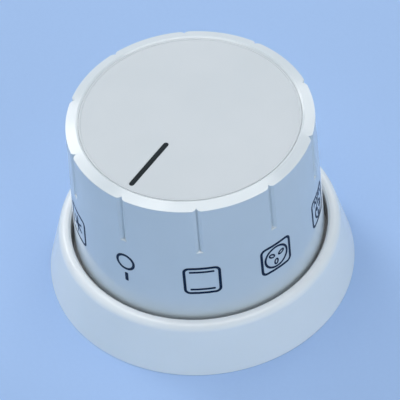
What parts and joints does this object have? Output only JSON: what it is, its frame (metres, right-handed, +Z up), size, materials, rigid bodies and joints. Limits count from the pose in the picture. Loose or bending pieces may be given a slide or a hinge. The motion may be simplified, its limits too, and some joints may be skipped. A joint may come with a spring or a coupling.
{
  "type": "oven control knob",
  "caption": "Tapered drum knob with finger grooves, an inlaid top disc and a pointer line, turning on a D-shaft in a conical bezel ring.",
  "frame": {"origin": "centre of the bezel ring's bottom face, on the turning axis", "axes": "+Z up the turning axis towards the disc, -Y the way the pointer faces at rest"},
  "size_m": [0.052, 0.052, 0.0343],
  "materials": {
    "bezel_white": "polished white moulding",
    "knob_white": "polished white moulding",
    "stem_white": "natural white moulding",
    "disc_white": "polished off-white moulding",
    "pointer_black": "satin black inlay",
    "spring_steel": "rolled strip"
  },
  "bodies": {
    "bezel": {"bezel_ring": "bezel_white"},
    "knob": {"knob_body": "knob_white", "stem_insert": "stem_white", "cap_disc": "disc_white", "pointer_line": "pointer_black", "shaft_spring": "spring_steel"}
  },
  "joints": [
    {"name": "knob_turn", "type": "hinge", "parent": "bezel", "child": "knob", "pos_m": [0, 0, 0], "axis": [0, 0, 1], "continuous": true}
  ]
}
